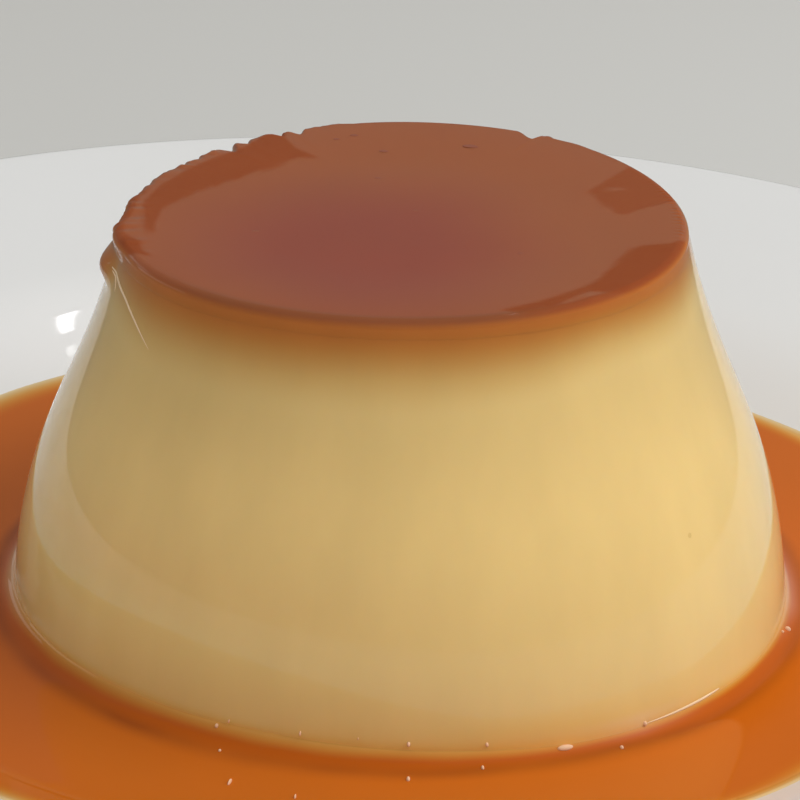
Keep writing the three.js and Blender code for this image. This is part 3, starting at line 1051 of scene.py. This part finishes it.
def make_soak_group():
    """Soak: stain plus a share of the way to clean custard, a power of a smooth step down the side."""
    inputs = {"Drop": 0.0, "Custard": WHITE, "Stain": WHITE}
    nodes, given, result = new_group("Soak", inputs, "Colour")
    noise = nodes.noise(nodes.place(), scale=50.0, detail=1.0)
    wander = nodes.math("MULTIPLY", nodes.math("SUBTRACT", noise, 0.5), STAIN_WANDER)
    drop = nodes.math("ADD", nodes.math("DIVIDE", given["Drop"], MM), wander)
    faded = nodes.span(drop, *STAIN_RUN)
    shares = [nodes.math("POWER", faded, pace) for pace in STAIN_PACE]
    pace = nodes.add("CombineColor", dict(enumerate(shares))).outputs[0]
    gap = nodes.vector("SUBTRACT", given["Custard"], given["Stain"])
    nodes.fill(result, {0: nodes.vector("ADD", given["Stain"], nodes.vector("MULTIPLY", gap, pace))})


def make_film_group():
    """Caramel film: a colour seen through caramel, times e to the minus absorption times thickness."""
    inputs = {"Colour": WHITE, "Thickness": 0.0}
    nodes, given, result = new_group("Caramel film", inputs, "Colour")
    passed = [
        nodes.math("EXPONENT", nodes.math("MULTIPLY", given["Thickness"], -absorption))
        for absorption in CARAMEL_ABSORPTION
    ]
    through = nodes.add("CombineColor", dict(enumerate(passed))).outputs[0]
    nodes.fill(result, {0: nodes.mix(1.0, given["Colour"], through, blend="MULTIPLY")})


def make_groups():
    """Makes the effects that several materials share."""
    make_mottle_group()
    make_swell_group()
    make_soak_group()
    make_film_group()


def new_material(name):
    """A material with its node calls and its Principled shader."""
    finish = bpy.data.materials.new(name)
    finish.use_nodes = True
    return finish, Nodes(finish.node_tree), finish.node_tree.nodes["Principled BSDF"]


def plain_material(name, shade, mottle, values):
    """A mottled material of one colour, with the other values of its shader."""
    finish, nodes, shader = new_material(name)
    nodes.fill(shader, {"Base Color": nodes.mottled(opaque(shade), mottle), **values})
    return finish


def glaze_material(plate):
    """White glaze: faintly mottled, glossy, with a slight ripple."""
    finish, nodes, shader = new_material("Plate glaze")
    shade = nodes.mottled(opaque(plate.glaze), "glaze")
    bump = nodes.uneven(*GLAZE_SKIN)
    nodes.fill(shader, {"Base Color": shade, "Normal": bump, "Roughness": plate.gloss, "IOR": 1.5})
    return finish


def soaked_side(nodes, custard, clean):
    """Mottled custard, stained by the caramel by its distance below the rim."""
    inputs = {"Drop": nodes.attribute("drop"), "Custard": clean, "Stain": opaque(custard.stained)}
    return nodes.mottled(nodes.group("Soak", inputs), "flan side")


def wet_skin(nodes, shader, shade, coat):
    """Gives a shader the wet body, its colour, its share of wet film and a faintly uneven skin."""
    bump = nodes.uneven(*WET_SKIN)
    nodes.fill(shader, {**WET_BODY, "Base Color": shade, "Normal": bump, "Coat Weight": coat})


def custard_material(custard):
    """Smooth wet custard, caramel-stained at its top, with sauce, froth and painted sheen at its foot."""
    finish, nodes, shader = new_material("Custard")
    # Paler foot colour: painted light that offsets the sauce's orange light.
    body = nodes.mix(nodes.attribute("pale"), opaque(custard.body), opaque(custard.low))
    # The custard's colour is scaled by painted light and shade.
    side = soaked_side(nodes, custard, nodes.scaled(body, nodes.attribute("tone")))
    shade = nodes.film(side, nodes.attribute("film"))
    # Pale veil at the foot: partly dried froth, partly painted sheen.
    shade = nodes.mix(nodes.attribute("veil"), shade, opaque(custard.veil))
    wet_skin(nodes, shader, shade, 1.0)
    return finish


def caramel_material(caramel, custard):
    """Caramel layer: dark and smooth, wetted by a film that mirrors its surroundings in places."""
    finish, nodes, shader = new_material("Caramel top")
    wet = nodes.mix(nodes.attribute("border"), opaque(caramel.burnt), opaque(caramel.amber))
    # The dull colour is painted: darker reflections on the dull places, light through the back edge.
    top = nodes.mix(nodes.attribute("film"), opaque(caramel.dull), wet)
    # Painted shade inside the front of the edge.
    top = nodes.mix(nodes.attribute("line"), top, opaque(caramel.line))
    below = nodes.span(nodes.math("DIVIDE", nodes.attribute("drop"), MM), *TOP_TO_SIDE)
    side = soaked_side(nodes, custard, opaque(custard.body))
    shade = nodes.mix(below, nodes.mottled(top, "flan top"), side)
    wet_skin(nodes, shader, shade, nodes.attribute("film"))
    return finish


def sauce_material(sauce, custard):
    """Caramel sauce on the white plate: custard shows at its foot, then a dark band, partly painted shade.
    """
    finish, nodes, shader = new_material("Caramel sauce")
    reach = nodes.attribute("reach")
    pool = nodes.mottled(nodes.film(opaque(sauce.ground), nodes.attribute("depth")), "sauce")
    # The dark band beside the flan: partly deeper sauce, partly painted shade.
    band = nodes.math("MULTIPLY", nodes.span(reach, *BAND_SEEN, 1.0, 0.0), nodes.attribute("shade"))
    darkened = nodes.mix(band, pool, nodes.mix(1.0, pool, opaque(sauce.contact), blend="MULTIPLY"))
    through = nodes.film(opaque(custard.body), nodes.attribute("creep"))
    shade = nodes.mix(nodes.span(reach, *CUSTARD_SEEN), through, darkened)
    shade = nodes.scaled(shade, nodes.attribute("lit"))
    # Pale veil beside the flan: partly dried froth, partly painted sheen.
    shade = nodes.mix(nodes.attribute("veil"), shade, opaque(custard.veil))
    nodes.fill(shader, {"Base Color": shade, "Roughness": 0.04, "IOR": 1.45})
    return finish


# ---- pieces

PLATE_COLUMNS = 288
FLAN_COLUMNS = 720
CARAMEL_COLUMNS = 1440

# The bubbles' pale colour partly stands in for the glints on them: a painted highlight.
# Bubbles at the foot of the flan: angle in degrees, distance from the flan in millimetres (below zero:
# height up its side), half length along the flan and half height in millimetres. Then the greatest
# half thickness, and the least distance from the flan at which the sauce's face is measured.
BUBBLES = (
    (243.5, 0.2, 0.17, 0.24), (245.2, -0.4, 0.08, 0.2), (255.8, -0.6, 0.11, 0.26),
    (264.0, -0.8, 0.06, 0.14), (271.0, -0.6, 0.18, 0.28), (281.8, -0.55, 0.16, 0.24),
    (292.8, 0.3, 0.8, 0.3), (305.5, -0.1, 0.2, 0.26), (246.0, 2.8, 0.14, 0.18),
    (271.0, 3.2, 0.18, 0.3), (280.8, 1.55, 0.15, 0.24), (300.5, 1.35, 0.17, 0.22),
    (250.2, 7.4, 0.12, 0.5), (258.2, 7.9, 0.1, 0.3), (344.8, 0.75, 0.2, 0.35),
    (343.2, 0.4, 0.14, 0.18),
)
BUBBLE_BULGE = 0.32
LEAST_DISTANCE = 0.1 * MM

# Burnt specks: on the top as place from its middle and half sizes in millimetres, on the side as
# angle in degrees, height and half sizes in millimetres. Then their half thickness.
TOP_SPECKS = (
    (-5.7, 23.2, 0.45, 0.3), (-2.5, 18.9, 0.5, 0.35), (-2.9, 11.2, 0.4, 0.25), (6.6, 20.4, 1.0, 0.5),
    (-14.4, -4.0, 0.4, 0.3), (-7.5, 22.0, 0.35, 0.25), (11.2, -9.2, 0.3, 0.2), (1.0, 2.1, 0.3, 0.2),
)
SIDE_SPECKS = ((318.5, 28.1, 0.25, 0.25), (188.8, 39.7, 0.1, 0.25))
SPECK_BULGE = 0.02

# Folds in the skin of dried caramel on the side, and a pale thread at the right foot that is a painted
# highlight: angle in degrees and height in millimetres of the points that each runs through, and its
# greatest half width. Then the share of the width that a fold stands out, and the share that it loses
# towards its end.
SKIN_FOLDS_AND_GLINT = (
    (
        (
            (194.8, 47.7), (197.3, 47.5), (201.2, 47.0), (206.3, 46.4), (211.3, 45.3), (214.7, 44.4),
            (218, 43.5),
        ),
        0.17,
    ),
    (((195.5, 47.4), (197.6, 47.1), (198.9, 46.5), (199.4, 45.9)), 0.13),
    # A painted highlight: the glossy streak on the wet foot, made as a pale thread.
    (((320.8, 12.72), (317.5, 12.64), (313.5, 12.58), (309.5, 12.52), (305.5, 12.48)), 0.19),
)
FOLD_RISE = 0.7
FOLD_TAPER = 0.5


def side_surface(custard, caramel):
    """The flan's side as a function of angle and height."""
    def surface(angle, height):
        return uneven_flan(custard, caramel, side_radius(custard, height), angle, height)
    return surface


def pool_surface(sauce, custard):
    """The sauce's face as a function of angle and distance from the flan."""
    def surface(angle, distance):
        x, y = from_centre(sauce_contact(custard, angle) + distance, angle)
        return stacked(x, y, sauce_level(sauce, custard, distance))
    return surface


def fold_grid(surface, corners, half_width, rows=60, columns=12):
    """A tapered strand on a surface: ellipses across an eased line, as wide as the root of a sine."""
    t, turn = np.linspace(0, 1, rows), full_turn(columns)[:, None]
    degrees, heights = np.transpose(corners)
    knots = np.linspace(0, 1, len(corners))
    angle, height = np.radians(eased(t, knots, degrees)), eased(t, knots, heights) * MM
    line, _, _, outward = frame_on(surface, angle, height)
    sideways = np.cross(outward, unit(np.gradient(line, axis=0)))
    width = half_width * MM * np.sqrt(np.sin(t * math.pi)) * (1 - FOLD_TAPER * t)
    ring = np.cos(turn) * sideways[:, None] + FOLD_RISE * np.sin(turn) * outward[:, None]
    return line[:, None] + width[:, None, None] * ring


def add_turned(name, grid, finish, slot, looks, replaced):
    """Adds a turned grid with poles as a piece, with what its material reads given on the same grid."""
    attributes = {key: without_pole_copies(values) for key, values in looks.items()}
    add_piece(name, *joined([grid]), finish, slot, attributes, replaced)


def add_specks(name, frames, sizes, finish, slot):
    """Adds flat ellipsoids as a piece, from their frames and their half sizes in millimetres."""
    halves = stacked(*np.transpose(sizes), SPECK_BULGE) * MM
    add_piece(name, *joined(blobs(*frames, halves)), finish, slot)


class FLAN_OT_plate(bpy.types.Operator):
    """Turn the plate from its section"""

    bl_idname = "flan.plate"
    bl_label = "Plate"

    def execute(self, context):
        plate = context.scene.flan_plate
        profile, angle = plate_profile(plate), full_turn(PLATE_COLUMNS)
        radius, height = profile[:, :1], profile[:, 1:]
        grid = stacked(radius * np.cos(angle), radius * np.sin(angle), height)
        add_turned("plate_glazed", grid, glaze_material(plate), "plate_glaze", {}, "plate")
        return {"FINISHED"}


class FLAN_OT_sauce(bpy.types.Operator):
    """Pour the sauce round the flan"""

    bl_idname = "flan.sauce"
    bl_label = "Sauce"

    def execute(self, context):
        scene = context.scene
        sauce, plate, custard = scene.flan_sauce, scene.flan_plate, scene.flan_custard
        angle = full_turn(FLAN_COLUMNS)
        above, below, distance, depth = pool_rows(sauce, plate, custard, angle)
        overlap, raised = FOOT_OVERLAP
        inward = -overlap * stacked(np.cos(angle), np.sin(angle), 0)
        tucked = above[:1] + inward + (0, 0, raised)
        grid = np.concatenate([below, above[::-1], tucked, below[:1] + inward])
        attributes = {
            key: np.concatenate([values, values[::-1], values[:1], values[:1]]).ravel()
            for key, values in pool_looks(angle, distance, depth).items()
        }
        faces = turned_faces(*grid.shape[:2], poles=False, looped=True)
        add_piece(
            "caramel_pool", grid.reshape(-1, 3), faces, sauce_material(sauce, custard), "caramel_sauce",
            attributes, "sauce",
        )
        return {"FINISHED"}


class FLAN_OT_custard(bpy.types.Operator):
    """Set the custard's body"""

    bl_idname = "flan.custard"
    bl_label = "Custard"

    def execute(self, context):
        custard, caramel = context.scene.flan_custard, context.scene.flan_caramel
        profile, angle = custard_profile(custard, caramel), full_turn(FLAN_COLUMNS)
        radius, level = profile[:, :1], profile[:, 1:]
        grid = uneven_flan(custard, caramel, radius, angle, level)
        looks = {
            "drop": stain_drop(custard, angle, level),
            "film": foot_film(custard, angle, level),
            # Painted light: a paler foot against the sauce's orange light.
            "pale": foot_share(custard, PAINTED_FOOT_LIGHT, PAINTED_FOOT_LIGHT_HEIGHTS, angle, level),
            # Painted light and shade.
            "tone": painted_custard_light(custard, angle, level),
            # Partly dried froth, partly painted sheen.
            "veil": foot_share(custard, FROTH_AND_PAINTED_SHEEN, FROTH_AND_PAINTED_SHEEN_HEIGHTS, angle, level),
        }
        add_turned("custard_body", grid, custard_material(custard), "custard", looks, "custard")
        return {"FINISHED"}


class FLAN_OT_caramel(bpy.types.Operator):
    """Lay the soaked caramel layer on the custard"""

    bl_idname = "flan.caramel"
    bl_label = "Caramel top"

    def execute(self, context):
        custard, caramel = context.scene.flan_custard, context.scene.flan_caramel
        (profile, corner), angle = caramel_profile(custard, caramel), full_turn(CARAMEL_COLUMNS)
        radius, level = profile[:, :1], profile[:, 1:]
        grid = uneven_flan(custard, caramel, radius, angle, level)
        grid[..., 2] += pucker(custard, caramel, radius, angle, level)
        stained_from = np.where(radius < corner, custard.rim_height, level)
        looks = {
            "drop": stain_drop(custard, angle, stained_from),
            "film": wet_film(custard, caramel, grid, radius, level, angle),
            "border": lighter_border(grid),
            # Painted shade inside the front of the edge.
            "line": painted_edge_shade(custard, caramel, radius, angle),
        }
        finish = caramel_material(caramel, custard)
        add_turned("caramel_layer", grid, finish, "caramel_top", looks, "caramel_top")
        return {"FINISHED"}


class FLAN_OT_bubbles(bpy.types.Operator):
    """Set the bubbles along the foot of the flan"""

    bl_idname = "flan.bubbles"
    bl_label = "Bubbles"

    def execute(self, context):
        scene = context.scene
        sauce, custard, caramel = scene.flan_sauce, scene.flan_custard, scene.flan_caramel
        degrees, distance, half_length, half_height = np.transpose(BUBBLES)
        angle, distance = np.radians(degrees), distance * MM
        on_side = frame_on(side_surface(custard, caramel), angle, custard.sauce_line - distance)
        on_pool = frame_on(pool_surface(sauce, custard), angle, np.maximum(distance, LEAST_DISTANCE))
        upper = (distance < 0)[:, None]
        points, along, _, outward = [np.where(upper, a, b) for a, b in zip(on_side, on_pool)]
        outward = np.where(outward[:, 2:] < 0, -outward, outward)
        bulge = np.minimum(half_height, BUBBLE_BULGE)
        halves = stacked(half_length, half_height, bulge) * MM
        grids = blobs(points, along, np.cross(outward, along), outward, halves)
        # Pale froth colour: partly a painted highlight standing in for the glints.
        finish = plain_material("Froth", sauce.froth, "froth", {"Roughness": 0.08, "Coat Weight": 1.0})
        add_piece("foot_bubbles", *joined(grids), finish, "caramel_sauce")
        return {"FINISHED"}


class FLAN_OT_specks(bpy.types.Operator):
    """Scatter the burnt specks on the top and the side"""

    bl_idname = "flan.specks"
    bl_label = "Specks"

    def execute(self, context):
        custard, caramel = context.scene.flan_custard, context.scene.flan_caramel
        wet = {**WET_BODY, "Coat Weight": 1.0, "Subsurface Weight": 0.0}
        top, side = np.array(TOP_SPECKS), np.array(SIDE_SPECKS)
        x, y = top[:, 0] * MM, top[:, 1] * MM
        angle = np.arctan2(y, x)
        radius = np.hypot(x, y) / (1 + lobed(TOP_LOBES, angle))
        height = sunk_level(custard, caramel, radius, custard.top_radius - caramel.round_width)
        points = on_flan(custard, radius, angle, height)
        frames = [points] + [np.broadcast_to(axis, points.shape) for axis in np.eye(3)]
        finish = plain_material("Burnt sugar", caramel.specks, "specks", wet)
        add_specks("top_specks", frames, top[:, 2:], finish, "caramel_top")
        frames = frame_on(side_surface(custard, caramel), np.radians(side[:, 0]), side[:, 1] * MM)
        finish = plain_material("Toasted custard", custard.specks, "specks", wet)
        add_specks("side_specks", frames, side[:, 2:], finish, "custard")
        return {"FINISHED"}


class FLAN_OT_folds(bpy.types.Operator):
    """Lay the folds of dried caramel skin on the side, and a painted highlight at the foot"""

    bl_idname = "flan.folds"
    bl_label = "Skin folds"

    def execute(self, context):
        custard = context.scene.flan_custard
        surface = side_surface(custard, context.scene.flan_caramel)
        grids = [fold_grid(surface, corners, half_width) for corners, half_width in SKIN_FOLDS_AND_GLINT]
        # The same pale colour makes the painted highlight at the right foot.
        finish = plain_material("Film fold", custard.fold_and_glint, "folds", {"Roughness": 0.15})
        add_piece("skin_folds", *joined(grids), finish, "custard")
        return {"FINISHED"}


# ---- stage

TABLE_REACH = 3.0
LIGHT_TARGET = (0, 0, 0.03)

# Soft lights, not mirrored by anything: name, azimuth, elevation, distance and side length.
SOFT_LIGHTS = (("key", 82, 42, 0.8, 0.6), ("sky", -60, 84, 1.1, 0.8), ("fill", -8, 12, 1.2, 0.6))

# Dim panels that are only mirrored: azimuth, elevation, width, height, roll and radiance.
GLOWS = ((-106, 15, 0.6, 0.2, 22, 0.6), (-134, 18, 0.5, 0.14, 37, 0.5))

# Window panes that the plate's glaze mirrors: azimuth, elevation, width, height, roll and share of the
# windows' radiance, seen from one spot on the plate.
WINDOWS = ((164.3, 54.2, 0.095, 0.0105, 142.5, 1), (155.3, 57.1, 0.015, 0.009, -6, 0.4))
WINDOW_TARGET = (-38.6 * MM, 52.3 * MM, 14.0 * MM)
PANEL_DISTANCE = 1.0

# Surroundings: their colour, how many times their strength is added where the camera sees them, and a
# darker corner as azimuth, elevation and half angles of its full and its fading part, with its share
# of the light.
SURROUND_COLOUR = (1.0, 0.96, 0.85, 1)
SEEN_EXTRA = 2
DARK_CORNER = (166, 36, 3, 10.5)
DARK_SHARE = 0.15

CAMERA_PLACE = (2.8 * MM, -315.93 * MM, 169.42 * MM)
CAMERA_AZIMUTH = 0.26466
CAMERA_ELEVATION = 23.9958
CAMERA_ROLL = 2.0133
SENSOR_WIDTH = 36


def direction(azimuth, elevation):
    """Unit vector towards an azimuth (0 in front, 90 right) and an elevation in degrees."""
    turn, lift = math.radians(azimuth), math.radians(elevation)
    return math.sin(turn) * math.cos(lift), -math.cos(turn) * math.cos(lift), math.sin(lift)


def facing(place, backward, roll):
    """Matrix at a place: local +Z points backward, and local +X is level and then rolled in degrees."""
    back = unit(np.array(backward))
    right = unit(np.cross((0, 0, 1), back))
    up = np.cross(back, right)
    turn = math.radians(roll)
    across = math.cos(turn) * right + math.sin(turn) * up
    along = math.cos(turn) * up - math.sin(turn) * right
    return Matrix(stacked(across, along, back, place).tolist() + [[0, 0, 0, 1]])


def area_light(name, azimuth, elevation, distance, size, power, target=LIGHT_TARGET, roll=0.0):
    """A flat light that faces the target from an azimuth and elevation."""
    toward = np.array(direction(azimuth, elevation))
    data = bpy.data.lights.new(name, "AREA")
    data.shape = "RECTANGLE"
    data.size, data.size_y = size
    data.energy = power
    light = new_object(name, data)
    light.matrix_world = facing(np.array(target) + toward * distance, toward, roll)
    return light


def panel_light(name, panel, radiance, target):
    """A flat light of a given radiance: its power is radiance times pi times its area."""
    azimuth, elevation, wide, high, roll = panel
    power = radiance * math.pi * wide * high
    return area_light(name, azimuth, elevation, PANEL_DISTANCE, (wide, high), power, target, roll)


def add_table(stage):
    """A plain square table on the XY plane."""
    corners = [(x * TABLE_REACH, y * TABLE_REACH, 0) for x, y in ((-1, -1), (1, -1), (1, 1), (-1, 1))]
    mesh = bpy.data.meshes.new("table")
    mesh.from_pydata(corners, [], [(0, 1, 2, 3)])
    mesh.materials.append(plain_material("Table", stage.table, "table", {"Roughness": 0.8}))
    table = new_object("table", mesh)
    table.visible_glossy = False


def add_lights(stage):
    """Soft lights for the shading, and panels for the reflections in wet pieces and glaze."""
    for name, azimuth, elevation, distance, side in SOFT_LIGHTS:
        power = getattr(stage, name + "_power")
        area_light(name, azimuth, elevation, distance, (side, side), power).visible_glossy = False
    for number, (*panel, radiance) in enumerate(GLOWS):
        panel_light(f"glow_{number}", panel, radiance, LIGHT_TARGET).visible_diffuse = False
    for number, (*panel, share) in enumerate(WINDOWS):
        panel_light(f"window_{number}", panel, share * stage.window, WINDOW_TARGET)


def surroundings(strength):
    """Even surroundings with a darker corner, brighter where the camera sees them directly."""
    world = bpy.data.worlds.new("Surroundings")
    world.use_nodes = True
    nodes = Nodes(world.node_tree)
    azimuth, elevation, full, fading = DARK_CORNER
    inputs = {0: nodes.add("TexCoord").outputs["Generated"], 1: direction(azimuth, elevation)}
    toward = nodes.add("VectorMath", inputs, operation="DOT_PRODUCT").outputs["Value"]
    limits = math.cos(math.radians(fading)), math.cos(math.radians(full))
    light = nodes.math("MULTIPLY", nodes.span(toward, *limits, 1.0, DARK_SHARE), strength)
    seen = nodes.add("LightPath").outputs["Is Camera Ray"]
    brightness = nodes.math("ADD", nodes.math("MULTIPLY", seen, SEEN_EXTRA * strength), light)
    background = world.node_tree.nodes["Background"]
    nodes.fill(background, {"Color": SURROUND_COLOUR, "Strength": brightness})
    return world


def add_camera(stage):
    """The camera, in front and a little above."""
    data = bpy.data.cameras.new("camera")
    data.lens = stage.lens
    data.sensor_width = SENSOR_WIDTH
    camera = new_object("camera", data)
    camera.matrix_world = facing(CAMERA_PLACE, direction(CAMERA_AZIMUTH, CAMERA_ELEVATION), CAMERA_ROLL)
    bpy.context.scene.camera = camera


class FLAN_OT_stage(bpy.types.Operator):
    """Set the table, the lights and the camera"""

    bl_idname = "flan.stage"
    bl_label = "Stage"

    def execute(self, context):
        stage = context.scene.flan_stage
        add_table(stage)
        add_lights(stage)
        context.scene.world = surroundings(stage.world)
        context.scene.view_settings.view_transform = "Standard"
        add_camera(stage)
        return {"FINISHED"}


# ---- add-on

SETTINGS = {
    "flan_plate": PlateSettings,
    "flan_custard": CustardSettings,
    "flan_caramel": CaramelSettings,
    "flan_sauce": SauceSettings,
    "flan_stage": StageSettings,
}

# The operators in the order in which they run, each with the settings that its box shows.
STEPS = (
    (FLAN_OT_stage, "flan_stage"),
    (FLAN_OT_plate, "flan_plate"),
    (FLAN_OT_sauce, "flan_sauce"),
    (FLAN_OT_custard, "flan_custard"),
    (FLAN_OT_caramel, "flan_caramel"),
    (FLAN_OT_bubbles, "flan_sauce"),
    (FLAN_OT_specks, "flan_caramel"),
    (FLAN_OT_folds, "flan_custard"),
)


class FLAN_PT_panel(bpy.types.Panel):
    """Buttons and settings of the flan"""

    bl_label = "Creme Caramel Flan"
    bl_space_type = "VIEW_3D"
    bl_region_type = "UI"
    bl_category = "Flan"

    def draw(self, context):
        for operator, settings in STEPS:
            box = self.layout.box()
            box.operator(operator.bl_idname)
            group = getattr(context.scene, settings)
            for key in group.__annotations__:
                box.prop(group, key)


CLASSES = [*SETTINGS.values(), *(operator for operator, _ in STEPS), FLAN_PT_panel]


def register():
    """Registers the settings, the operators and the panel."""
    for each in CLASSES:
        bpy.utils.register_class(each)
    for name, group in SETTINGS.items():
        setattr(bpy.types.Scene, name, PointerProperty(type=group))


def unregister():
    """Takes them away again, in the opposite order."""
    for name in reversed(SETTINGS):
        delattr(bpy.types.Scene, name)
    for each in reversed(CLASSES):
        bpy.utils.unregister_class(each)


def main():
    """Makes every piece in order."""
    register()
    make_groups()
    for operator, _ in STEPS:
        group, name = operator.bl_idname.split(".")
        getattr(getattr(bpy.ops, group), name)()


if __name__ == "__main__":
    main()
